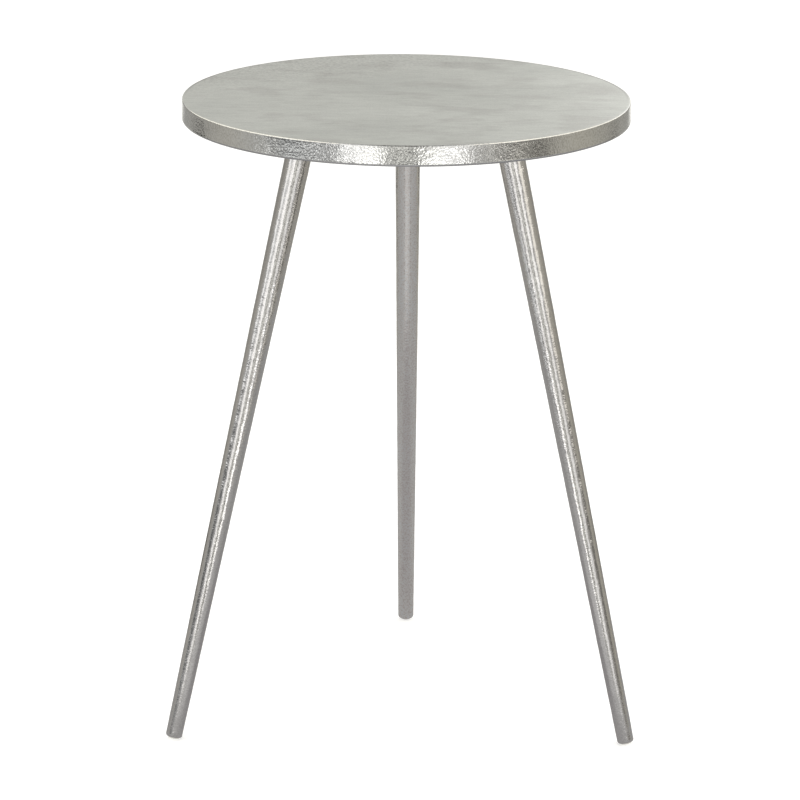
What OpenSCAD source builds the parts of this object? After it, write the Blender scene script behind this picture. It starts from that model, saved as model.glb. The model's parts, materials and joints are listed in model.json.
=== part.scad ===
// Tripod side table: a cast dish-shaped top on three tapered screw-in legs.
// The origin is on the floor under the middle of the top, +Z is up, and one leg
// points along +Y. Millimetres.

/* [Tabletop] */
// Diameter of the round top
top_d = 400; // [360:5:440]
// Height of the top face above the floor
table_h = 566; // [480:2:620]
// Depth of the turned-down rim
rim_depth = 19; // [18:0.5:24]
// Wall thickness of the rim at its lower edge
rim_wall = 4.5; // [4:0.5:6]
// Thickness of the cast plate
plate_t = 4; // [3.5:0.5:5]
// Radius of the rim's upper edge
rim_edge_r = 1.5; // [1:0.1:3.5]
// Radius of the rim's two lower edges
rim_foot_r = 1.8; // [0.8:0.1:1.9]
// Width of the stiffening ribs under the plate
rib_w = 4; // [3:0.5:6]
// Depth of the ribs below the plate
rib_depth = 3; // [2:0.5:3.5]
// Diameter of the ring that joins the ribs in the middle
rib_ring_d = 72; // [50:2:90]

/* [Legs] */
// Angle between each leg and the vertical
splay = 13.6; // [10:0.1:15]
// Distance of each foot from the middle of the table
foot_reach = 234.8; // [225:0.2:240]
// Leg diameter at the top end
leg_top_d = 24; // [21:0.2:26]
// Leg diameter at the foot
leg_foot_d = 15; // [13:0.2:17]
// Radius of the rounded edge at the foot
foot_edge_r = 2; // [1:0.1:2.4]

/* [Leg fixing] */
// Diameter of the cast boss that each leg screws up to
boss_d = 28; // [26:1:32]
// Depth of the boss face below the top face, measured on the leg's axis
seat_drop = 15; // [14.5:0.1:16]
// Outer diameter of the stud's thread
stud_d = 8; // [6:1:8]
// Outer diameter of the threaded insert
insert_d = 12; // [12:0.5:14]
// Length of the threaded insert
insert_len = 11; // [8:0.5:11]
// Thickness of the split lock washer
washer_t = 2; // [1.6:0.1:2.4]

/* [Floor glide] */
// Diameter of the glide's head
glide_d = 10; // [8:0.2:10]
// How far the glide's domed head stands out of the leg
glide_proud = 1.8; // [1.5:0.1:2]
// Radius of the glide's dome
glide_dome_r = 16; // [15:0.5:18]
// Diameter of the glide's stem
glide_stem_d = 6; // [5:0.5:6]
// Length of the glide's stem
glide_stem_len = 12; // [8:0.5:14]

/* [Hidden] */
$fn = 96;

// Where the three legs stand round the table
back = 90;
left = 210;
right = 330;

// Gaps between pieces: a thread or push fit, and faces that are pulled together
fit_gap = 0.05;
face_gap = 0.02;

// The glide's dome touches the floor, so its centre stands one dome radius up
foot_z = glide_dome_r - (glide_dome_r - glide_proud) * cos(splay);
// Length along a leg's axis, from the foot end up to the boss face and to the leg's own top end
seat_len = (table_h - seat_drop - foot_z) / cos(splay);
leg_len = seat_len - washer_t - 2 * face_gap;

rim_draft = 1;
inner_fillet_r = 3;
leg_top_edge_r = 0.8;
boss_draft = 1.5;
insert_chamfer = 0.8;
insert_gap_end = 0.3;
stud_in_leg = 30;
stud_in_insert = insert_len - 0.5;
stud_chamfer = 1;
washer_d = stud_d * 1.85;
washer_bore_gap = 0.2;
washer_slit = 1;
washer_slit_slant = 20;
edge_steps = 8;
skin = 1.2;

nickel = [0.74, 0.73, 0.70];
zinc = [0.62, 0.62, 0.60];
nylon = [0.86, 0.86, 0.83];

// Points of a rounded corner: centre, radius, first angle and last angle
function arc(c, r, from, to) = [
  for (i = [0:edge_steps])
    let (a = from + (to - from) * i / edge_steps)
      c + r * [cos(a), sin(a)]
];

// Puts its children on a leg's axis: z is 0 at the foot end and grows up the leg
module on_leg(side) {
  rotate([0, 0, side])
    translate([foot_reach, 0, foot_z])
      rotate([0, -splay, 0])
        children();
}

// Half of the dish's cross-section, with the rim rounded at both edges
module dish_profile() {
  r = top_d / 2;
  under = -plate_t;
  wall = r - rim_wall;
  polygon(concat(
    [[0, 0]],
    arc([r - rim_edge_r, -rim_edge_r], rim_edge_r, 90, 0),
    arc([r - rim_foot_r, -rim_depth + rim_foot_r], rim_foot_r, 0, -90),
    arc([wall + rim_foot_r, -rim_depth + rim_foot_r], rim_foot_r, -90, -180),
    arc([wall - rim_draft - inner_fillet_r, under - inner_fillet_r], inner_fillet_r, 0, 90),
    [[0, under]]
  ));
}

// One straight rib from the middle ring out to the rim
module rib() {
  translate([rib_ring_d / 2 - rib_w / 2, -rib_w / 2, table_h - plate_t - rib_depth])
    cube([top_d / 2 - rib_ring_d / 2 - rim_wall / 2, rib_w, rib_depth + plate_t / 2]);
}

module rib_ring() {
  translate([0, 0, table_h - plate_t - rib_depth])
    rotate_extrude()
      translate([rib_ring_d / 2 - rib_w, 0])
        square([rib_w, rib_depth + plate_t / 2]);
}

// A boss square to its leg, cut off level inside the plate
module boss() {
  intersection() {
    on_leg(0)
      translate([0, 0, seat_len])
        cylinder(d1 = boss_d, d2 = boss_d + 2 * boss_draft, h = seat_drop * 2);
    translate([0, -boss_d, table_h - seat_drop - boss_d])
      cube([top_d / 2, boss_d * 2, seat_drop + boss_d - plate_t / 2]);
  }
}

module boss_bore() {
  on_leg(0)
    translate([0, 0, seat_len - skin])
      cylinder(d = insert_d + 2 * fit_gap, h = insert_len + insert_gap_end + skin);
}

module tabletop() {
  color(nickel)
    difference() {
      union() {
        translate([0, 0, table_h])
          rotate_extrude($fn = 180)
            dish_profile();
        rib_ring();
        for (side = [back, left, right])
          rotate([0, 0, side]) {
            rib();
            boss();
          }
      }
      for (side = [back, left, right])
        rotate([0, 0, side])
          boss_bore();
    }
}

// Tapered leg, drilled for the stud above and the glide's stem below
module leg(side) {
  foot_r = leg_foot_d / 2;
  top_r = leg_top_d / 2;
  color(nickel)
    on_leg(side)
      difference() {
        rotate_extrude()
          polygon(concat(
            [[0, 0]],
            arc([foot_r - foot_edge_r, foot_edge_r], foot_edge_r, -90, 0),
            arc([top_r - leg_top_edge_r, leg_len - leg_top_edge_r], leg_top_edge_r, 0, 90),
            [[0, leg_len]]
          ));
        translate([0, 0, leg_len - stud_in_leg - fit_gap])
          cylinder(d = stud_d + 2 * fit_gap, h = stud_in_leg + skin);
        translate([0, 0, -skin])
          cylinder(d = glide_stem_d + 2 * fit_gap, h = glide_stem_len + skin + fit_gap);
      }
}

// Threaded rod, drawn at its outer diameter
module leg_stud(side) {
  r = stud_d / 2;
  len = stud_in_leg + washer_t + 2 * face_gap + stud_in_insert;
  color(zinc)
    on_leg(side)
      translate([0, 0, leg_len - stud_in_leg])
        rotate_extrude()
          polygon([
            [0, 0],
            [r - stud_chamfer, 0],
            [r, stud_chamfer],
            [r, len - stud_chamfer],
            [r - stud_chamfer, len],
            [0, len]
          ]);
}

// Steel bush pressed into the boss, which carries the female thread
module threaded_insert(side) {
  r = insert_d / 2;
  bore_r = stud_d / 2 + fit_gap;
  color(zinc)
    on_leg(side)
      translate([0, 0, seat_len])
        rotate_extrude()
          polygon([
            [bore_r, insert_chamfer],
            [bore_r + insert_chamfer, 0],
            [r, 0],
            [r, insert_len - insert_chamfer],
            [r - insert_chamfer, insert_len],
            [bore_r, insert_len]
          ]);
}

// Split ring, pulled flat between the leg and the boss
module lock_washer(side) {
  bore_d = stud_d + 2 * washer_bore_gap;
  color(zinc)
    on_leg(side)
      translate([0, 0, seat_len - washer_t - face_gap])
        difference() {
          cylinder(d = washer_d, h = washer_t);
          translate([0, 0, -skin])
            cylinder(d = bore_d, h = washer_t + 2 * skin);
          translate([washer_d / 2, 0, washer_t / 2])
            rotate([washer_slit_slant, 0, 0])
              cube([washer_d, washer_slit, washer_t * 3], center = true);
        }
}

// Push-in floor glide: a head with a spherical dome, and a plain stem
module foot_glide(side) {
  color(nylon)
    on_leg(side) {
      intersection() {
        translate([0, 0, glide_dome_r - glide_proud])
          sphere(r = glide_dome_r);
        translate([0, 0, -glide_proud - skin])
          cylinder(d = glide_d, h = glide_proud + skin - face_gap);
      }
      translate([0, 0, -glide_proud / 2])
        cylinder(d = glide_stem_d, h = glide_stem_len - fit_gap + glide_proud / 2);
    }
}

tabletop();
leg(back);  // leg_back
leg(left);  // leg_left
leg(right);  // leg_right
leg_stud(back);  // leg_stud_back
leg_stud(left);  // leg_stud_left
leg_stud(right);  // leg_stud_right
threaded_insert(back);  // threaded_insert_back
threaded_insert(left);  // threaded_insert_left
threaded_insert(right);  // threaded_insert_right
lock_washer(back);  // lock_washer_back
lock_washer(left);  // lock_washer_left
lock_washer(right);  // lock_washer_right
foot_glide(back);  // foot_glide_back
foot_glide(left);  // foot_glide_left
foot_glide(right);  // foot_glide_right
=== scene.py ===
import json
import math

import bpy
import numpy as np
from mathutils import Matrix, Vector


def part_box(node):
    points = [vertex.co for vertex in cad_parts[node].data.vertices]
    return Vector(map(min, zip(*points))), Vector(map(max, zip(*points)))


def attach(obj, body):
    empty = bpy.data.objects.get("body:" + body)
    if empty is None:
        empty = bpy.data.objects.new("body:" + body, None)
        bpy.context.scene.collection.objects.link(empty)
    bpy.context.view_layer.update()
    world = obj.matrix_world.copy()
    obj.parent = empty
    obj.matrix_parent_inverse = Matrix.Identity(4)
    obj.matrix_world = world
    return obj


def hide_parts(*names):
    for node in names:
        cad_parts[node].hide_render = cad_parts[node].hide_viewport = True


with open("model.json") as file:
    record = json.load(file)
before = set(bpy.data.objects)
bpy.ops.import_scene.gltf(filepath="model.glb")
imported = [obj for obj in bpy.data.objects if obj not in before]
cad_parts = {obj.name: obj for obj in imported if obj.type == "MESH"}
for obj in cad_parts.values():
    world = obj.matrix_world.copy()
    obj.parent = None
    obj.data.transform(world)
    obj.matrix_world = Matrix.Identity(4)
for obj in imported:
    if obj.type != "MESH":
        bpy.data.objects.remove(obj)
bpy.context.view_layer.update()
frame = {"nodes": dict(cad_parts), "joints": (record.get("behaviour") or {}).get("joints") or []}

MM = 0.001
TURN = 2 * math.pi
SIDES = ("back", "left", "right")
JOINTS = {joint["name"]: joint for joint in frame["joints"]}

# ---------------------------------------------------------------- sizes, in metres
TOP_LOW, TOP_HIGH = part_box("tabletop")
TOP_R = (TOP_HIGH.x - TOP_LOW.x) / 2
TOP_Z = TOP_HIGH.z
RIM_FOOT_Z = TOP_LOW.z
PLATE = 4 * MM
UNDER_Z = TOP_Z - PLATE
RIM_WALL = 4.5 * MM
RIM_EDGE_R = 1.5 * MM
RIM_FOOT_R = 1.8 * MM
RIM_DRAFT = 1 * MM
INNER_FILLET = 3 * MM
RIB_HALF = 2 * MM
RIB_DEPTH = 3 * MM
RIB_FILLET = 1.9 * MM
RIB_EDGE_R = 1 * MM
RIB_OVERLAP = 1 * MM
RING_R = 34 * MM
BOSS_R = 14 * MM
BOSS_EDGE = 0.8 * MM
BOSS_DRAFT = 0.06
BOSS_FILLET = 4 * MM
BORE_GAP = 0.05 * MM
BORE_CHAMFER = 0.3 * MM
PITCH = 1.25 * MM
LEG_FOOT_EDGE = 2 * MM
LEG_TOP_EDGE = 0.8 * MM
GLIDE_BORE_R = 3.05 * MM
GLIDE_BORE_DEPTH = 12 * MM


# ---------------------------------------------------------------- meshes
def angles(around):
    """Evenly spaced angles once round, in radians."""
    return np.linspace(0, TURN, around, endpoint=False)


class LegAxis:
    """The line that a leg turns about. Heights along it start at the boss face and grow upwards."""

    def __init__(self, side):
        joint = JOINTS[f"leg_{side}_turn"]
        self.seat = np.array(joint["pos_m"])
        self.up = -np.array(joint["axis"]) / np.linalg.norm(joint["axis"])
        self.across = np.cross(self.up, (0, 0, 1))
        self.across /= np.linalg.norm(self.across)
        self.out = np.cross(self.across, self.up)

    def place(self, radius, angle, height):
        """Points at a radius, an angle about the axis and a height along it."""
        radius, angle, height = np.broadcast_arrays(radius, angle, height)
        return (self.seat
                + (radius * np.cos(angle))[..., None] * self.out
                + (radius * np.sin(angle))[..., None] * self.across
                + height[..., None] * self.up)

    def measure(self, name):
        """Height along the axis and distance from it of each vertex of a CAD node."""
        points = np.array([v.co for v in frame["nodes"][name].data.vertices]) - self.seat
        height = points @ self.up
        return height, np.linalg.norm(points - height[:, None] * self.up, axis=1)

    def span(self, name):
        """The lowest and highest place of a CAD node along the axis, and its largest radius."""
        height, radius = self.measure(name)
        return height.min(), height.max(), radius.max()

    def foot_radius(self, name, reach=4 * MM):
        """The largest radius of a CAD node within reach of its lowest point."""
        height, radius = self.measure(name)
        return radius[height < height.min() + reach].max()


def ripple(points, wavelength, seed, waves=28):
    """Smooth seeded noise from 0 to 1 at each point, with humps about half a wavelength across."""
    rng = np.random.default_rng(seed)
    ways = rng.normal(size=(waves, 3))
    ways /= np.linalg.norm(ways, axis=1)[:, None] * wavelength * rng.uniform(0.7, 1.5, (waves, 1))
    phase = rng.uniform(0, TURN, waves)
    total = np.sin(TURN * points @ ways.T + phase).sum(axis=-1) / math.sqrt(waves / 2)
    return np.clip(0.5 + total / 5, 0, 1)


def arc(centre, radius, first, last, steps):
    """Points of a round corner in a profile, from one angle in degrees to another."""
    turns = np.radians(np.linspace(first, last, steps + 1))
    return [(centre[0] + radius * math.cos(a), centre[1] + radius * math.sin(a)) for a in turns]


def straight(start, end, steps):
    """Evenly spaced points after start, up to and including end."""
    return [tuple(np.array(start) + (np.array(end) - start) * k / steps) for k in range(1, steps + 1)]


def skin(rows, ring=False):
    """Vertices and faces of rows of points, each row a closed round. A ring joins its last row to its
    first; otherwise the two end rows shrink to one point each."""
    rows = np.asarray(rows)
    count, around = rows.shape[:2]
    here = np.arange(around)
    following = np.roll(here, -1)
    faces = []
    if ring:
        vertices = rows.reshape(-1, 3)
        pairs = [(k, (k + 1) % count) for k in range(count)]
        start = {k: k * around for k in range(count)}
    else:
        inner = rows[1:-1]
        vertices = np.concatenate([inner.reshape(-1, 3), rows[0, :1], rows[-1, :1]])
        pairs = [(k, k + 1) for k in range(1, count - 2)]
        start = {k: (k - 1) * around for k in range(1, count - 1)}
        low, high = len(vertices) - 2, len(vertices) - 1
        faces += [(low, start[1] + b, start[1] + a) for a, b in zip(here, following)]
        faces += [(high, start[count - 2] + a, start[count - 2] + b) for a, b in zip(here, following)]
    for k, nxt in pairs:
        faces += [(start[k] + a, start[k] + b, start[nxt] + b, start[nxt] + a)
                  for a, b in zip(here, following)]
    return vertices, [tuple(int(v) for v in face) for face in faces]


def new_object(name, vertices, faces):
    """A mesh object in the scene."""
    mesh = bpy.data.meshes.new(name)
    mesh.from_pydata(np.asarray(vertices).tolist(), [], faces)
    mesh.validate()
    made = bpy.data.objects.new(name, mesh)
    bpy.context.scene.collection.objects.link(made)
    return made


def merged(name, parts):
    """One object from several lists of vertices and faces."""
    vertices, faces = [], []
    for some, shapes in parts:
        faces += [tuple(v + len(vertices) for v in shape) for shape in shapes]
        vertices += np.asarray(some).tolist()
    return new_object(name, vertices, faces)


def disc(name, radius, height, around):
    """A flat round object, facing up."""
    vertices = [(radius * math.cos(a), radius * math.sin(a), height) for a in angles(around)]
    return new_object(name, vertices, [tuple(range(around))])


def outward(made):
    """Turns a closed mesh right side out."""
    mesh = made.data
    mesh.calc_loop_triangles()
    corners = np.array([v.co for v in mesh.vertices])[[t.vertices[:] for t in mesh.loop_triangles]]
    volume = np.einsum("ij,ij->i", corners[:, 0], np.cross(corners[:, 1], corners[:, 2])).sum()
    if volume < 0:
        mesh.flip_normals()


def apply_boolean(base, tool, operation):
    """Joins the tool to base or cuts it out, exactly, and removes the tool."""
    outward(tool)
    step = base.modifiers.new("join", "BOOLEAN")
    step.object = tool
    step.operation = operation
    step.solver = "EXACT"
    graph = bpy.context.evaluated_depsgraph_get()
    mesh = bpy.data.meshes.new_from_object(base.evaluated_get(graph))
    base.modifiers.clear()
    base.data = mesh
    bpy.data.objects.remove(tool)


def finish_piece(made, body, node, materials, sharp=35):
    """Smooths a piece, dresses it and puts it in its CAD node's place."""
    outward(made)
    made.data.shade_smooth()
    made.data.set_sharp_from_angle(angle=math.radians(sharp))
    for material in materials:
        made.data.materials.append(material)
    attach(made, body)
    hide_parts(node)


# ---------------------------------------------------------------- shader nodes
def add(tree, kind, inputs=None, **settings):
    """A shader node with its settings and inputs; an input is a number, a vector or a socket to link."""
    made = tree.nodes.new(kind)
    for key, value in settings.items():
        setattr(made, key, value)
    for key, value in (inputs or {}).items():
        if isinstance(value, bpy.types.NodeSocket):
            tree.links.new(value, made.inputs[key])
        else:
            made.inputs[key].default_value = value
    return made


def math_node(tree, operation, *values):
    """The result of a math node on one or two values."""
    return add(tree, "ShaderNodeMath", dict(enumerate(values)), operation=operation).outputs[0]


def times(tree, first, second):
    """Two values multiplied."""
    return math_node(tree, "MULTIPLY", first, second)


def plus(tree, first, second):
    """Two values added."""
    return math_node(tree, "ADD", first, second)


def split(tree, vector):
    """The X, Y and Z of a vector."""
    return add(tree, "ShaderNodeSeparateXYZ", {"Vector": vector}).outputs[:]


def length(tree, vector):
    """The length of a vector."""
    return add(tree, "ShaderNodeVectorMath", {0: vector}, operation="LENGTH").outputs["Value"]


def blend_over(tree, value, start, end):
    """0 at start and 1 at end, with a smooth step between; end may be the lower of the two."""
    return add(tree, "ShaderNodeMapRange", {"Value": value, "From Min": start, "From Max": end},
               interpolation_type="SMOOTHSTEP").outputs[0]


def spread(tree, value, low, high):
    """Takes a value from 0 to 1 to the range from low to high."""
    return add(tree, "ShaderNodeMapRange", {"Value": value, "To Min": low, "To Max": high}).outputs[0]


def ramp(tree, factor, stops):
    """A colour ramp of at most 32 stops. Each stop is a place from 0 to 1 and a grey or a colour."""
    made = add(tree, "ShaderNodeValToRGB", {"Fac": factor})
    elements = made.color_ramp.elements
    while len(elements) < len(stops):
        elements.new(0.5)
    for element, (place, colour) in zip(elements, sorted(stops, key=lambda stop: stop[0])):
        element.position = place
        colour = (colour,) * 3 if isinstance(colour, (int, float)) else colour
        element.color = (*colour, 1)
    return made.outputs["Color"]


def mix(tree, factor, first, second, blend="MIX"):
    """Two colours or values mixed; the factor is how much of the second."""
    made = add(tree, "ShaderNodeMix", data_type="RGBA", blend_type=blend)
    for socket, value in ((made.inputs[0], factor), (made.inputs[6], first), (made.inputs[7], second)):
        if isinstance(value, bpy.types.NodeSocket):
            tree.links.new(value, socket)
        else:
            socket.default_value = value if isinstance(value, (int, float)) else (*value, 1)
    return made.outputs[2]


def noise(tree, where, size, detail=2.0, roughness=0.5, stretch=(1, 1, 1)):
    """Noise whose features are about size metres across, stretched by stretch along each axis."""
    scale = tuple(1 / (size * s) for s in stretch)
    moved = add(tree, "ShaderNodeMapping", {"Vector": where, "Scale": scale})
    made = add(tree, "ShaderNodeTexNoise",
               {"Vector": moved.outputs[0], "Scale": 1.0, "Detail": detail, "Roughness": roughness})
    return made.outputs["Fac"]


def relief(tree, layers):
    """A chain of bumps. Each layer is a height from 0 to 1 and its full depth in metres."""
    normal = None
    for height, depth in layers:
        inputs = {"Height": height, "Distance": depth, "Strength": 1.0}
        if normal is not None:
            inputs["Normal"] = normal
        normal = add(tree, "ShaderNodeBump", inputs).outputs[0]
    return normal


def new_material(name, kind="ShaderNodeBsdfPrincipled"):
    """A material with one shader, its node tree, that shader and the object coordinates."""
    made = bpy.data.materials.new(name)
    made.use_nodes = True
    tree = made.node_tree
    tree.nodes.clear()
    shader = add(tree, kind)
    output = add(tree, "ShaderNodeOutputMaterial")
    tree.links.new(shader.outputs[0], output.inputs[0])
    where = add(tree, "ShaderNodeTexCoord").outputs["Object"]
    return made, tree, shader, where


def set_shader(tree, shader, **values):
    """Sets or links a shader's inputs by name, with _ for a space."""
    for key, value in values.items():
        socket = shader.inputs[key.replace("_", " ")]
        if isinstance(value, bpy.types.NodeSocket):
            tree.links.new(value, socket)
        else:
            socket.default_value = value


# ---------------------------------------------------------------- materials
def table_metal():
    """Nickel plate on the tabletop: brushed and matt on the flat face, bright and grainy round the rim."""
    made, tree, shader, where = new_material("nickel_tabletop")
    x, y, z = split(tree, where)
    # Where the flat face, the rim's bottom edge and the rest of the rim are
    flat = blend_over(tree, z, TOP_Z - 0.7 * MM, TOP_Z - 0.15 * MM)
    bottom = blend_over(tree, z, RIM_FOOT_Z + 2.2 * MM, RIM_FOOT_Z + 1.2 * MM)
    rim = math_node(tree, "SUBTRACT", math_node(tree, "SUBTRACT", 1.0, flat), bottom)

    cloud = noise(tree, where, 110 * MM, stretch=(1.4, 1, 1))
    patch = noise(tree, where, 32 * MM, detail=4.0, roughness=0.55, stretch=(1.7, 1, 1))
    brush = noise(tree, where, 6 * MM, detail=3.0, roughness=0.6, stretch=(3.2, 1, 1))
    sand = noise(tree, where, 1.4 * MM, roughness=0.6)
    speck = noise(tree, where, 3.2 * MM, roughness=0.6)
    grain = noise(tree, where, 1.75 * MM, detail=1.0)
    swell = noise(tree, where, 6 * MM, detail=1.0)

    # Tarnish grows towards the far left of the top, and a thin dark line round the far edge is painted shade
    far_left = plus(tree, times(tree, y, 0.85), times(tree, x, -0.5))
    tarnish = blend_over(tree, plus(tree, far_left, times(tree, cloud, 0.06)), 0.08, 0.22)
    radius = length(tree, add(tree, "ShaderNodeCombineXYZ", {"X": x, "Y": y}).outputs[0])
    far_edge_painted_shade = times(tree, blend_over(tree, radius, TOP_R - 4 * MM, TOP_R - 2 * MM),
                     blend_over(tree, y, -0.02, 0.06))
    smudge = ramp(tree, patch, [(0.36, 1.0), (0.5, 0.0)])
    stain = times(tree, smudge, plus(tree, times(tree, tarnish, 0.4), 0.64))

    # The flat face: clouded grey, stains, dark specks where it's tarnished, brush marks, grain, and a painted
    # shade line along the far edge
    clouds = [(0.3, (0.62, 0.63, 0.60)), (0.5, (0.69, 0.70, 0.665)), (0.7, (0.76, 0.77, 0.735))]
    tone = ramp(tree, cloud, clouds)
    tone = mix(tree, stain, tone, (0.52, 0.51, 0.485))
    specks = ramp(tree, speck, [(0.42, (0.30, 0.29, 0.275)), (0.56, (0.72, 0.71, 0.68))])
    tone = mix(tree, times(tree, tarnish, 0.4), tone, specks)
    tone = mix(tree, 0.23, tone, ramp(tree, brush, [(0.3, (0.45, 0.46, 0.43)), (0.7, (0.80, 0.81, 0.77))]))
    tone = mix(tree, 0.16, tone, ramp(tree, sand, [(0.35, (0.40, 0.40, 0.38)), (0.65, (0.84, 0.85, 0.81))]))
    # Painted shade: a thin dark line along the far edge of the top
    tone = mix(tree, times(tree, far_edge_painted_shade, 0.6), tone, (0.26, 0.25, 0.24))

    # The rim: bright, with a smooth bottom edge painted darker, a painted reflection of the shaded floor
    # under the table
    bright = ramp(tree, grain, [(0.3, (0.80, 0.79, 0.765)), (0.6, (0.96, 0.955, 0.93))])
    bright = mix(tree, times(tree, bottom, 0.6), bright, (0.42, 0.42, 0.44))

    roughness = mix(tree, flat, spread(tree, swell, 0.03, 0.06), spread(tree, patch, 0.40, 0.50))
    bumps = [(times(tree, swell, rim), 0.08 * MM), (times(tree, grain, rim), 0.18 * MM),
             (times(tree, brush, flat), 0.08 * MM), (times(tree, sand, flat), 0.08 * MM)]
    set_shader(tree, shader, Base_Color=mix(tree, flat, bright, tone), Metallic=1.0,
               Roughness=roughness, Normal=relief(tree, bumps))
    return made


def cast_metal():
    """The plated but unpolished skin of the casting under the plate."""
    made, tree, shader, where = new_material("nickel_as_cast")
    patch = noise(tree, where, 30 * MM, detail=4.0, roughness=0.6)
    pits = noise(tree, where, 1.6 * MM, detail=3.0, roughness=0.6)
    tone = ramp(tree, patch, [(0.3, (0.40, 0.395, 0.375)), (0.7, (0.56, 0.555, 0.53))])
    tone = mix(tree, 0.3, tone, ramp(tree, pits, [(0.3, (0.25, 0.25, 0.24)), (0.6, (0.7, 0.69, 0.67))]))
    set_shader(tree, shader, Base_Color=tone, Metallic=1.0, Roughness=spread(tree, patch, 0.42, 0.6),
               Normal=relief(tree, [(patch, 0.3 * MM), (pits, 0.25 * MM)]))
    return made


def leg_metal(name, tint_and_painted_light, grain_and_painted_glint):
    """Nickel plate on a leg: polished by hand along the leg, over a wavy skin, and duller towards the
    foot. The first setting after the name tints it and, where above one, paints the leg lighter as
    painted light; the second is how strongly its grain shows, and a high share adds painted glints."""
    made, tree, shader, where = new_material(name)
    height = split(tree, where)[2]
    low = blend_over(tree, height, 0.30, 0.02)
    patch = noise(tree, where, 30 * MM, detail=3.0, stretch=(1, 1, 2.5))
    strokes = noise(tree, where, 2.2 * MM, stretch=(1, 1, 5))
    grain = noise(tree, where, 1.5 * MM, detail=1.0)
    swell = noise(tree, where, 5 * MM, detail=1.0, stretch=(1, 1, 2))
    tone = ramp(tree, patch, [(0.3, (0.75, 0.74, 0.715)), (0.7, (0.84, 0.83, 0.805))])
    # Grain; a high share, as on the back leg, adds painted glints
    tone = mix(tree, grain_and_painted_glint, tone, ramp(tree, grain, [(0.3, (0.5, 0.49, 0.47)), (0.62, (0.94, 0.93, 0.91))]))
    # Tint; on the back leg also painted light, which makes the whole leg lighter
    tone = mix(tree, 1.0, tone, tint_and_painted_light, "MULTIPLY")
    roughness = plus(tree, times(tree, low, 0.045), spread(tree, strokes, 0.04, 0.10))
    set_shader(tree, shader, Base_Color=tone, Metallic=1.0, Roughness=roughness,
               Normal=relief(tree, [(swell, 0.16 * MM), (strokes, 0.06 * MM), (grain, 0.10 * MM)]))
    return made


def zinc_metal():
    """Bright zinc plate on the studs, inserts and lock washers."""
    made, tree, shader, where = new_material("zinc_plate")
    patch = noise(tree, where, 4 * MM, detail=3.0)
    scratch = noise(tree, where, 0.5 * MM, stretch=(1, 1, 4))
    tone = ramp(tree, patch, [(0.3, (0.58, 0.60, 0.62)), (0.7, (0.74, 0.74, 0.72))])
    set_shader(tree, shader, Base_Color=tone, Metallic=1.0, Roughness=spread(tree, scratch, 0.22, 0.4),
               Normal=relief(tree, [(scratch, 0.01 * MM)]))
    return made


def glide_plastic():
    """Milky, undyed nylon of the floor glides."""
    made, tree, shader, where = new_material("nylon_glide")
    patch = noise(tree, where, 3 * MM, detail=3.0)
    fine = noise(tree, where, 0.4 * MM)
    tone = ramp(tree, patch, [(0.3, (0.70, 0.69, 0.65)), (0.7, (0.80, 0.79, 0.75))])
    set_shader(tree, shader, Base_Color=tone, Roughness=spread(tree, patch, 0.4, 0.58),
               Normal=relief(tree, [(fine, 0.02 * MM)]))
    return made


# ---------------------------------------------------------------- tabletop
def dish_rows(around):
    """The dish as rows of points: flat face, rounded rim, open underside."""
    wall = TOP_R - RIM_WALL
    bend = RIM_FOOT_Z + RIM_FOOT_R
    inner_r, inner_z = wall - RIM_DRAFT - INNER_FILLET, UNDER_Z - INNER_FILLET
    profile = [(0, TOP_Z)]
    profile += straight((0, TOP_Z), (TOP_R - RIM_EDGE_R - 2 * MM, TOP_Z), 6)
    profile += arc((TOP_R - RIM_EDGE_R, TOP_Z - RIM_EDGE_R), RIM_EDGE_R, 90, 0, 9)
    profile += straight((TOP_R, TOP_Z - RIM_EDGE_R), (TOP_R, bend), 10)
    profile += arc((TOP_R - RIM_FOOT_R, bend), RIM_FOOT_R, 0, -90, 5)[1:]
    profile += arc((wall + RIM_FOOT_R, bend), RIM_FOOT_R, -90, -180, 5)
    profile += straight((wall, bend), (wall - RIM_DRAFT, inner_z), 3)
    profile += arc((inner_r, inner_z), INNER_FILLET, 0, 90, 6)[1:]
    profile += straight((inner_r, UNDER_Z), (0, UNDER_Z), 3)
    return [[(r * math.cos(a), r * math.sin(a), z) for a in angles(around)] for r, z in profile]


def rib_section():
    """Section of a rib as distance from its middle and height: filleted feet, rounded crest. It reaches
    a little way into the plate, so that the two join."""
    crest = UNDER_Z - RIB_DEPTH
    foot = (RIB_HALF + RIB_FILLET, UNDER_Z - RIB_FILLET - 0.05 * MM)
    half = [(foot[0], UNDER_Z + RIB_OVERLAP)]
    half += arc(foot, RIB_FILLET, 90, 180, 5)
    half += arc((RIB_HALF - RIB_EDGE_R, crest + RIB_EDGE_R), RIB_EDGE_R, 0, -90, 4)
    return half + [(-y, z) for y, z in reversed(half)]


def bar(section, start, end, turn):
    """A straight bar of that section, from one radius to another, turned about the table's axis."""
    spin = Matrix.Rotation(turn, 3, "Z")
    ends = [[tuple(spin @ Vector((x, y, z))) for y, z in section] for x in (start, end)]
    count = len(section)
    faces = [(a, (a + 1) % count, count + (a + 1) % count, count + a) for a in range(count)]
    faces += [tuple(reversed(range(count))), tuple(range(count, 2 * count))]
    return ends[0] + ends[1], faces


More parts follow.
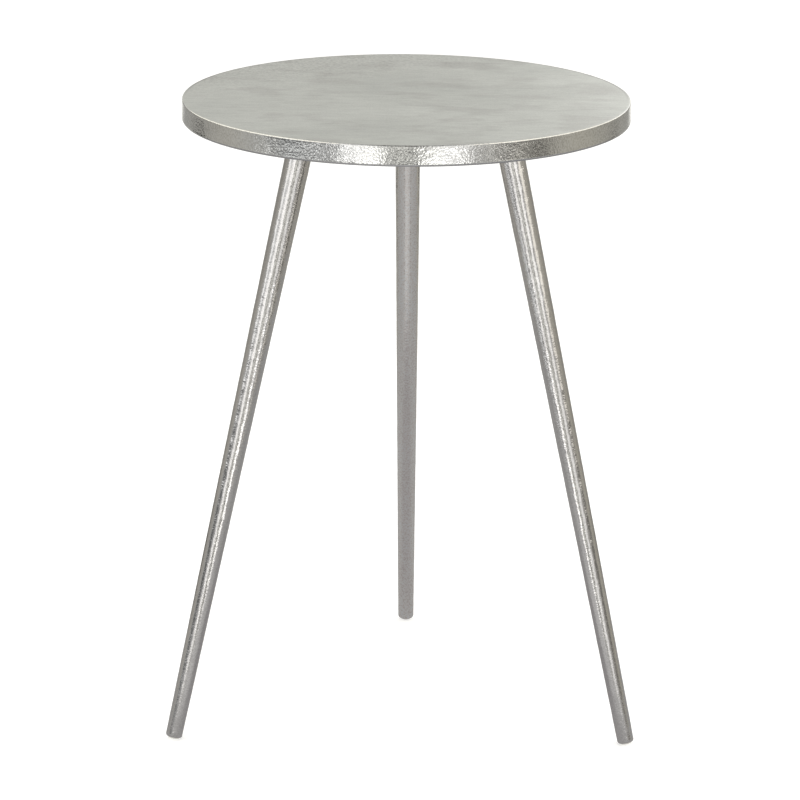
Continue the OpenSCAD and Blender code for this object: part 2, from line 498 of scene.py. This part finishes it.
def boss_rows(axis, around):
    """A boss square to its leg, flared into the plate, and cut off level inside the plate."""
    angle = angles(around)
    level = TOP_Z - PLATE / 2
    rows = [axis.place(np.zeros(around), angle, 0.0)]
    for r, h in arc((BOSS_R - BOSS_EDGE, BOSS_EDGE), BOSS_EDGE, -90, 0, 4):
        rows.append(axis.place(np.full(around, r), angle, h))
    reach = (level - rows[-1][:, 2]) / axis.up[2]
    for share in np.linspace(0.08, 1, 16):
        height = BOSS_EDGE + reach * share
        side = BOSS_R + BOSS_DRAFT * height
        gap = np.clip(UNDER_Z - axis.place(side, angle, height)[:, 2], 0, BOSS_FILLET)
        side = side + BOSS_FILLET - np.sqrt(BOSS_FILLET ** 2 - (BOSS_FILLET - gap) ** 2)
        rows.append(axis.place(side, angle, height))
    rows[-1][:, 2] = level
    rows.append(np.repeat(rows[-1].mean(axis=0)[None], around, axis=0))
    return rows


def bore(side, axis, around=64):
    """The hole that a threaded insert sits in, starting a little below the boss face."""
    _, high, radius = axis.span(f"threaded_insert_{side}")
    start, end = -2 * MM, high + BORE_CHAMFER
    profile = [(0, start), (radius + BORE_GAP, start), (radius + BORE_GAP, end), (0, end)]
    return skin([axis.place(np.full(around, r), angles(around), h) for r, h in profile])


def ripple_rim(mesh):
    """Sinks the rim's outside by a slow ripple, as on a hand-finished casting."""
    points = np.array([v.co for v in mesh.vertices])
    radius = np.hypot(points[:, 0], points[:, 1])
    near_rim = np.clip((radius - (TOP_R - 2.2 * MM)) / (1 * MM), 0, 1)
    slow, quick = ripple(points, 14 * MM, seed=3), ripple(points, 6 * MM, seed=4)
    depth = near_rim * (0.10 * MM * slow + 0.05 * MM * quick)
    points[:, :2] *= (1 - depth / np.maximum(radius, 1 * MM))[:, None]
    mesh.vertices.foreach_set("co", points.ravel())
    mesh.update()


def make_tabletop(axes, materials):
    """The casting: dish, rib ring, ribs, bosses and bores. The second material goes on the underside."""
    top = new_object("top_casting", *skin(dish_rows(720)))
    outward(top)
    section = rib_section()
    ring_rows = [[((RING_R + y) * math.cos(a), (RING_R + y) * math.sin(a), z) for a in angles(120)]
                 for y, z in section]
    apply_boolean(top, new_object("ring", *skin(ring_rows, ring=True)), "UNION")
    turns = [math.atan2(axis.seat[1], axis.seat[0]) for axis in axes.values()]
    ribs = [bar(section, RING_R, TOP_R - RIM_WALL / 2, turn) for turn in turns]
    apply_boolean(top, merged("ribs", ribs), "UNION")
    bosses = [skin(boss_rows(axis, 96)) for axis in axes.values()]
    apply_boolean(top, merged("bosses", bosses), "UNION")
    bores = [bore(side, axis) for side, axis in axes.items()]
    apply_boolean(top, merged("bores", bores), "DIFFERENCE")
    ripple_rim(top.data)
    finish_piece(top, "tabletop", "tabletop", materials)
    for face in top.data.polygons:
        x, y, z = face.center
        inside = math.hypot(x, y) < TOP_R - RIM_WALL + RIM_FOOT_R
        face.material_index = 1 if inside and z < TOP_Z - 1 * MM else 0


# ---------------------------------------------------------------- pieces along a leg
def revolve(name, axis, profile, around, sink=None):
    """A solid of revolution about a leg's axis. sink takes its points and gives how far each sinks in."""
    angle = angles(around)
    rows = np.array([axis.place(np.full(around, r), angle, h) for r, h in profile])
    if sink is not None:
        depth = sink(rows)
        rows = [axis.place(np.maximum(r - sunk, 0), angle, h) for (r, h), sunk in zip(profile, depth)]
    return new_object(name, *skin(rows))


def make_leg(side, axis, material, seed):
    """A tapered leg with a bore for its stud at the top and one for its glide in the foot."""
    low, high, top_r = axis.span(f"leg_{side}")
    foot_r = axis.foot_radius(f"leg_{side}")
    stud_low, _, stud_r = axis.span(f"leg_stud_{side}")
    bore_r, bore_end = stud_r + BORE_GAP, stud_low - BORE_GAP
    bend_low, bend_high = low + LEG_FOOT_EDGE, high - LEG_TOP_EDGE
    profile = [(0, low + GLIDE_BORE_DEPTH), (GLIDE_BORE_R, low + GLIDE_BORE_DEPTH),
               (GLIDE_BORE_R, low + BORE_CHAMFER), (GLIDE_BORE_R + BORE_CHAMFER, low)]
    profile += arc((foot_r - LEG_FOOT_EDGE, bend_low), LEG_FOOT_EDGE, -90, 0, 7)
    first = len(profile)
    profile += straight((foot_r, bend_low), (top_r, bend_high), 420)
    last = len(profile)
    profile += arc((top_r - LEG_TOP_EDGE, bend_high), LEG_TOP_EDGE, 0, 90, 4)[1:]
    profile += [(bore_r + BORE_CHAMFER, high), (bore_r, high - BORE_CHAMFER)]
    profile += [(bore_r, bore_end), (0, bore_end)]
    outside = np.array([first - 6 <= k < last + 3 for k in range(len(profile))])

    def wavy(rows):
        """How far each point sinks in, on the outside only."""
        slow, quick = ripple(rows, 16 * MM, seed), ripple(rows, 7 * MM, seed + 10)
        depth = 0.14 * MM * slow + 0.07 * MM * quick
        return depth * outside[:, None]

    made = revolve(f"leg_{side}_casting", axis, profile, 84, wavy)
    finish_piece(made, f"leg_{side}", f"leg_{side}", [material])


def thread(height, angle):
    """Depth of a right-hand thread's groove from 0, at the crest, to 1, at the root."""
    phase = (height / PITCH - angle / TURN) % 1
    return np.clip(1.35 * np.abs(2 * phase - 1) - 0.15, 0, 1)


def make_stud(side, axis, material):
    """A threaded stud with chamfered ends."""
    low, high, radius = axis.span(f"leg_stud_{side}")
    around, chamfer, groove = 40, 1 * MM, 0.61 * MM
    angle = angles(around)
    heights = np.arange(low, high + 1e-9, PITCH / 8)
    heights = np.append(heights, high) if high - heights[-1] > 1e-5 else heights
    rows = [axis.place(np.zeros(around), angle, low)]
    for h in heights:
        end = chamfer - min(h - low, high - h, chamfer)
        side_r = np.minimum(radius - groove * thread(h, angle), radius - end)
        rows.append(axis.place(side_r, angle, h))
    rows.append(axis.place(np.zeros(around), angle, high))
    made = new_object(f"stud_{side}_threaded", *skin(rows))
    finish_piece(made, f"leg_{side}", f"leg_stud_{side}", [material], sharp=60)


def make_insert(side, axis, material):
    """A bush with a smooth outside and a thread cut inside."""
    low, high, radius = axis.span(f"threaded_insert_{side}")
    around, chamfer, groove, edge = 64, 0.8 * MM, 0.4 * MM, 0.2 * MM
    hole = axis.span(f"leg_stud_{side}")[2] + BORE_GAP
    angle = angles(around)
    outside = [(radius - edge, low), (radius, low + edge), (radius, high - chamfer), (radius - chamfer, high),
               (hole + groove, high)]
    rows = [axis.place(np.full(around, r), angle, h) for r, h in outside]
    for h in np.arange(high - groove, low + chamfer, -PITCH / 8):
        rows.append(axis.place(hole + groove * thread(h, angle), angle, h))
    rows += [axis.place(np.full(around, r), angle, h) for r, h in ((hole + edge, low + chamfer),
                                                                   (hole + chamfer, low))]
    made = new_object(f"insert_{side}_tapped", *skin(rows, ring=True))
    finish_piece(made, "tabletop", f"threaded_insert_{side}", [material], sharp=50)


def make_washer(side, axis, material):
    """A split ring of chamfered square wire, whose two ends are cut on a slant."""
    low, high, radius = axis.span(f"lock_washer_{side}")
    hole = axis.span(f"leg_stud_{side}")[2] + 0.2 * MM
    cut, half_gap, slant = 0.2 * MM, 0.6 * MM, math.tan(math.radians(20))
    middle = (low + high) / 2
    section = [(hole + cut, low), (radius - cut, low), (radius, low + cut), (radius, high - cut),
               (radius - cut, high), (hole + cut, high), (hole, high - cut), (hole, low + cut)]
    vertices, steps = [], 72
    for k in range(steps + 1):
        for r, h in section:
            lean = slant * (h - middle)
            first = (half_gap - lean) / r
            final = TURN - (half_gap + lean) / r
            vertices.append(axis.place(r, first + (final - first) * k / steps, h))
    count = len(section)
    faces = []
    for here in range(0, steps * count, count):
        for a in range(count):
            b = (a + 1) % count
            faces.append((here + a, here + b, here + count + b, here + count + a))
    faces += [tuple(reversed(range(count))), tuple(range(steps * count, (steps + 1) * count))]
    made = new_object(f"washer_{side}_split", vertices, faces)
    finish_piece(made, f"washer_{side}", f"lock_washer_{side}", [material])


def make_glide(side, axis, material):
    """A domed floor glide with a barbed stem that sits in the foot's bore."""
    low, high, radius = axis.span(f"foot_glide_{side}")
    dome, stem, edge, tip = 16 * MM, 3 * MM, 0.4 * MM, 0.6 * MM
    barbs, barb_step, barb_depth = 4, 2.4 * MM, 0.35 * MM
    centre = low + dome
    head = axis.span(f"leg_{side}")[0] - 0.02 * MM
    widest = math.asin((radius - edge) / dome)
    profile = [(dome * math.sin(a), centre - dome * math.cos(a)) for a in np.linspace(0, widest, 9)]
    profile += arc((radius - edge, profile[-1][1] + edge), edge, -70, 0, 4)
    profile += [(radius, head - 0.1 * MM), (radius - 0.1 * MM, head), (stem, head)]
    for k in range(barbs):
        barb = head + 2 * MM + barb_step * k
        profile += [(stem - barb_depth, barb), (stem, barb + 0.3 * MM), (stem - barb_depth, barb + 1.6 * MM)]
    profile += [(stem - tip, high - tip), (stem - 2 * tip, high), (0, high)]
    made = revolve(f"glide_{side}_domed", axis, profile, 56)
    finish_piece(made, f"leg_{side}", f"foot_glide_{side}", [material])


# ---------------------------------------------------------------- studio
# The metal mirrors a round wall of softboxes and dark gaps. Each list below holds azimuths in degrees,
# 0 towards the camera and growing to the right, each with a brightness, a share or a colour. The first
# four are the wall's levels, from the lowest up.
WALL_FOOT = [
    (-138, 0.38), (-136, 0.03), (-124, 0.03), (-121, 0.36), (-80, 0.41), (-70, 0.68), (-63, 0.38),
    (-56, 0.86), (-50, 0.32), (-43, 0.68), (-36, 0.26), (-31, 1.60), (-12, 1.90), (-9, 0.10),
    (-6, 0.50), (-3, 0.10), (0, 0.45), (3, 0.08), (6, 0.24), (9, 1.60), (28, 1.75), (33, 0.24),
    (50, 0.66), (56, 0.32), (62, 0.52), (68, 0.11), (76, 0.12), (83, 0.37), (126, 0.35), (129, 0.06),
    (136, 0.10), (138, 0.36),
]
WALL_LOW = [
    (-180, 0.15), (-170, 0.15), (-160, 0.30), (-120, 0.30), (-90, 0.38), (-70, 0.30), (-58, 0.34),
    (-45, 0.38), (-32, 0.40), (-24, 0.46), (-18, 0.70), (-12, 0.90), (-8, 0.42), (-5, 0.36), (-3, 0.85),
    (0, 0.70), (3, 0.33), (8, 0.38), (12, 0.68), (19, 0.64), (30, 0.56), (38, 0.45), (50, 0.36),
    (62, 0.24), (76, 0.28), (90, 0.36), (120, 0.30), (160, 0.30), (170, 0.15), (180, 0.15),
]
WALL_MID = [
    (-180, 0.15), (-174, 0.15), (-160, 0.30), (-120, 0.28), (-100, 0.36), (-80, 0.38), (-72, 0.36),
    (-66, 0.13), (-52, 0.13), (-44, 0.26), (-35, 0.45), (-29, 1.10), (-18, 1.10), (-12, 0.85),
    (-8, 0.36), (-5, 0.34), (-3, 0.80), (0, 0.75), (3, 0.34), (8, 0.40), (14, 0.90), (30, 0.90),
    (37, 0.50), (46, 0.34), (56, 0.16), (68, 0.16), (76, 0.30), (84, 0.38), (100, 0.36), (120, 0.28),
    (160, 0.30), (180, 0.15),
]
WALL_HIGH = [
    (-180, 0.15), (-174, 0.15), (-160, 0.30), (-120, 0.26), (-100, 0.34), (-84, 0.37), (-71, 0.42),
    (-65, 1.15), (-57, 1.15), (-51, 0.85), (-43, 0.62), (-37, 0.85), (-30, 1.25), (-14, 1.25),
    (-9, 0.40), (-5, 0.34), (-3, 1.00), (0, 1.00), (3, 0.34), (8, 0.36), (13, 1.20), (28, 1.20),
    (34, 0.40), (40, 0.40), (47, 0.80), (56, 1.05), (64, 0.90), (72, 0.44), (82, 0.38), (100, 0.34),
    (160, 0.30), (180, 0.15),
]
# Each level above the lowest, and the heights between which it takes over from the one under it
WALL_LEVELS = [(WALL_LOW, (-0.17, -0.08)), (WALL_MID, (-0.04, 0.13)), (WALL_HIGH, (0.34, 0.66))]
# Two softboxes straight behind the table, and how much of the wall they replace
WALL_REAR = [
    (-180, 0.30), (-177, 0.34), (-175, 1.10), (-163, 1.10), (-159, 0.34), (0, 0.34), (159, 0.34),
    (163, 1.10), (175, 1.10), (177, 0.34), (180, 0.30),
]
REAR_SHARE = [(-180, 1.00), (-160, 1.00), (-156, 0.00), (156, 0.00), (160, 1.00), (180, 1.00)]
# Where the left front softbox ends higher than the rest of the lower wall
CUT_OFF = [(-46, 0.00), (-40, 1.00), (-24, 1.00), (-19, 0.00)]
# Where the lower wall is cluttered with small bright and dark things, which make the rim's grain sparkle
CLUTTER = [
    (-180, 0.00), (-78, 0.00), (-72, 1.00), (-33, 1.00), (-30, 0.00), (-10, 0.00), (-8, 0.70),
    (8, 0.70), (10, 0.00), (31, 0.00), (33, 1.00), (70, 1.00), (78, 0.00), (180, 0.00),
]
# The wall's colour, which multiplies its brightness
WALL_TINT = [
    (-180, (1.00, 1.00, 0.97)), (-100, (1.03, 1.00, 0.92)), (-60, (0.98, 1.00, 1.01)),
    (-25, (1.00, 1.00, 1.00)), (0, (1.00, 1.00, 0.95)), (25, (1.00, 1.00, 1.00)),
    (60, (1.03, 1.00, 0.92)), (100, (1.04, 1.00, 0.88)), (180, (1.00, 1.00, 0.97)),
]
WALL_R, WALL_BOTTOM, WALL_TOP = 3.0, -0.85, 1.0
BELOW_WALL, BELOW_SOFTBOX = (0.32, 0.32, 0.32), (0.36, 0.36, 0.36)
THINGS_SIZE, THINGS = 0.15, [(0.40, 0.10), (0.60, 2.1)]

# The floor near the feet as the metal mirrors it
APRON = [
    (-140, 0.35), (-90, 0.33), (-60, 0.37), (-22, 0.50), (6, 0.49), (44, 0.38), (90, 0.32), (140, 0.35),
]
# A painted shadow of the table, on the mirrored floor under it
TABLE_SHADOW_PAINTED = (0.30, 0.295, 0.30)
APRON_R, APRON_Z = 1.4, -1 * MM
FLOOR_R = 9.0


def azimuth_ramp(tree, across, towards, stops):
    """A ramp round the table by azimuth in degrees, 0 facing the camera and growing to the right."""
    turn = math_node(tree, "ARCTAN2", across, times(tree, towards, -1.0))
    place = plus(tree, math_node(tree, "DIVIDE", turn, TURN), 0.5)
    return ramp(tree, place, [(0.5 + azimuth / 360, colour) for azimuth, colour in stops])


def stage_for_mirrors(made, material):
    """Gives a stage object its material, and leaves it for reflections only to see."""
    made.data.materials.append(material)
    made.visible_camera = False
    made.visible_diffuse = False
    made.visible_shadow = False


def make_wall():
    """A round wall that only the metal sees: softboxes and dark gaps, which change with height."""
    around = 128
    vertices = [(WALL_R * math.cos(a), WALL_R * math.sin(a), z)
                for z in (WALL_BOTTOM, WALL_TOP) for a in angles(around)]
    faces = [(k, (k + 1) % around, around + (k + 1) % around, around + k) for k in range(around)]
    wall = new_object("reflected_wall", vertices, faces)
    material, tree, glow, where = new_material("reflected_wall", "ShaderNodeEmission")
    x, y, z = split(tree, where)
    seen = azimuth_ramp(tree, x, y, WALL_FOOT)
    for stops, (start, end) in WALL_LEVELS:
        seen = mix(tree, blend_over(tree, z, start, end), seen, azimuth_ramp(tree, x, y, stops))
    rear = times(tree, azimuth_ramp(tree, x, y, REAR_SHARE), blend_over(tree, z, -0.16, -0.02))
    seen = mix(tree, rear, seen, azimuth_ramp(tree, x, y, WALL_REAR))
    # Plain grey at the foot of the wall, and sooner under the left front softbox
    seen = mix(tree, blend_over(tree, z, -0.42, -0.70), seen, BELOW_WALL)
    ended = times(tree, azimuth_ramp(tree, x, y, CUT_OFF), blend_over(tree, z, -0.28, -0.36))
    seen = mix(tree, ended, seen, BELOW_SOFTBOX)
    # Clutter, in a band along the lower wall
    band = times(tree, blend_over(tree, z, 0.0, -0.06), blend_over(tree, z, -0.50, -0.42))
    cluttered = times(tree, azimuth_ramp(tree, x, y, CLUTTER), band)
    things = ramp(tree, noise(tree, where, THINGS_SIZE, detail=1.0), THINGS)
    seen = mix(tree, cluttered, seen, things, "MULTIPLY")
    seen = mix(tree, 1.0, seen, azimuth_ramp(tree, x, y, WALL_TINT), "MULTIPLY")
    set_shader(tree, glow, Color=seen)
    stage_for_mirrors(wall, material)


def make_mirrored_floor():
    """The floor near the feet, as the metal mirrors it: brighter in front, darker under the table as a
    painted shadow of the table, and fading out further off."""
    apron = disc("mirrored_floor", APRON_R, APRON_Z, 96)
    material, tree, shader, where = new_material("mirrored_floor", "ShaderNodeMixShader")
    x, y, _ = split(tree, where)
    far = length(tree, where)
    # Painted shadow of the table in the middle, the mirrored floor round it
    seen = mix(tree, blend_over(tree, far, 0.30, 0.13), azimuth_ramp(tree, x, y, APRON), TABLE_SHADOW_PAINTED)
    glow = add(tree, "ShaderNodeEmission", {"Color": seen}).outputs[0]
    clear = add(tree, "ShaderNodeBsdfTransparent").outputs[0]
    faded = blend_over(tree, far, 0.55, 1.30)
    for socket, value in zip(shader.inputs, (faded, glow, clear)):
        tree.links.new(value, socket)
    stage_for_mirrors(apron, material)


def make_world():
    """The studio beyond the wall: a pale sweep behind, a dim ceiling with lit sides and a dark strip in
    front, and the ground. The camera itself sees plain white."""
    world = bpy.data.worlds.new("studio")
    bpy.context.scene.world = world
    world.use_nodes = True
    tree = world.node_tree
    tree.nodes.clear()
    across, along, rise = split(tree, add(tree, "ShaderNodeTexCoord").outputs["Generated"])
    sideways = math_node(tree, "ABSOLUTE", across)
    behind = blend_over(tree, along, -0.35, 0.35)
    seen = mix(tree, behind, (0.48, 0.48, 0.48), (0.66, 0.66, 0.64))
    # A dark strip of ceiling in front, which draws the thin dark line along the front of the top's edge
    strip = times(tree, blend_over(tree, sideways, 0.26, 0.16),
                  times(tree, blend_over(tree, rise, 0.16, 0.24), blend_over(tree, along, 0.0, -0.3)))
    seen = mix(tree, times(tree, strip, 0.8), seen, (0.05, 0.045, 0.04))
    seen = mix(tree, blend_over(tree, sideways, 0.42, 0.60), seen, (1.15, 1.12, 1.02))
    # Below the horizon: the ground far off, then nearer, then straight below, dark as a painted shadow of the
    # table
    low = mix(tree, behind, (0.34, 0.34, 0.34), (0.26, 0.26, 0.26))
    seen = mix(tree, blend_over(tree, rise, -0.05, -0.30), seen, low)
    seen = mix(tree, blend_over(tree, rise, -0.42, -0.62), seen, (0.45, 0.44, 0.43))
    seen = mix(tree, blend_over(tree, rise, -0.80, -0.95), seen, (0.12, 0.12, 0.13))
    studio = add(tree, "ShaderNodeBackground", {"Color": seen, "Strength": 1.0})
    backdrop = add(tree, "ShaderNodeBackground", {"Color": (1, 1, 1, 1), "Strength": 1.0})
    direct = add(tree, "ShaderNodeLightPath").outputs["Is Camera Ray"]
    both = add(tree, "ShaderNodeMixShader", {0: direct, 1: studio.outputs[0], 2: backdrop.outputs[0]})
    output = add(tree, "ShaderNodeOutputWorld")
    tree.links.new(both.outputs[0], output.inputs[0])


def make_floor():
    """A plain pale floor, which the metal doesn't mirror."""
    floor = disc("floor", FLOOR_R, 0, 96)
    made, tree, shader, _ = new_material("pale_floor")
    set_shader(tree, shader, Base_Color=(0.70, 0.70, 0.70, 1), Roughness=0.9,
               Emission_Color=(1, 1, 1, 1), Emission_Strength=0.50)
    floor.data.materials.append(made)
    floor.visible_glossy = False


def make_light(name, place, target, size, power, mirrored):
    """A rectangular light aimed at target; mirrored says whether reflections show it."""
    light = bpy.data.lights.new(name, "AREA")
    light.shape = "RECTANGLE"
    light.size, light.size_y = size
    light.energy = power
    made = bpy.data.objects.new(name, light)
    bpy.context.scene.collection.objects.link(made)
    made.location = place
    made.rotation_mode = "QUATERNION"
    made.rotation_quaternion = (Vector(target) - Vector(place)).to_track_quat("-Z", "Y")
    made.visible_camera = False
    made.visible_glossy = mirrored


def make_camera():
    """A long lens, slightly above the tabletop, and a hair off the table's front."""
    turn, rise, roll = math.radians(0.81), 0.272, 0.0079
    distance, target = 4.0744, Vector((0, 0, 0.2842))
    data = bpy.data.cameras.new("camera")
    data.sensor_width, data.lens = 36, 202.0
    data.shift_x, data.shift_y = -0.0051, 0.0026
    data.clip_start, data.clip_end = 0.1, 50
    back = Vector((math.sin(turn) * math.cos(rise), -math.cos(turn) * math.cos(rise), math.sin(rise)))
    right = Vector((math.cos(turn), math.sin(turn), 0))
    up = back.cross(right)
    tilted_right = math.cos(roll) * right + math.sin(roll) * up
    tilted_up = math.cos(roll) * up - math.sin(roll) * right
    axes = Matrix((tilted_right, tilted_up, back)).transposed().to_4x4()
    made = bpy.data.objects.new("camera", data)
    bpy.context.scene.collection.objects.link(made)
    made.matrix_world = Matrix.Translation(target + back * distance) @ axes
    bpy.context.scene.camera = made


# ---------------------------------------------------------------- build
make_camera()
make_world()
make_wall()
make_mirrored_floor()
make_floor()
make_light("overhead", (0, -0.6, 3.2), (0, 0, 0), (3.0, 3.0), power=45, mirrored=False)
make_light("rear_right", (0.7, 1.6, 1.1), (0, 0, TOP_Z), (1.0, 0.8), power=2.2, mirrored=True)

AXES = {side: LegAxis(side) for side in SIDES}
make_tabletop(AXES, [table_metal(), cast_metal()])
FRONT_LEG = leg_metal("nickel_leg", tint_and_painted_light=(1.0, 0.985, 0.99), grain_and_painted_glint=0.2)
# The back leg: the same nickel painted lighter and more speckled, as painted light and painted glints
BACK_LEG_PAINTED_LIGHTER = leg_metal("nickel_back_leg_painted_lighter", tint_and_painted_light=(1.26, 1.21, 1.20), grain_and_painted_glint=0.38)
ZINC, NYLON = zinc_metal(), glide_plastic()
for seed, (side, axis) in enumerate(AXES.items(), start=20):
    make_leg(side, axis, BACK_LEG_PAINTED_LIGHTER if side == "back" else FRONT_LEG, seed)
    make_stud(side, axis, ZINC)
    make_insert(side, axis, ZINC)
    make_washer(side, axis, ZINC)
    make_glide(side, axis, NYLON)
bpy.context.scene.view_settings.view_transform = "Standard"
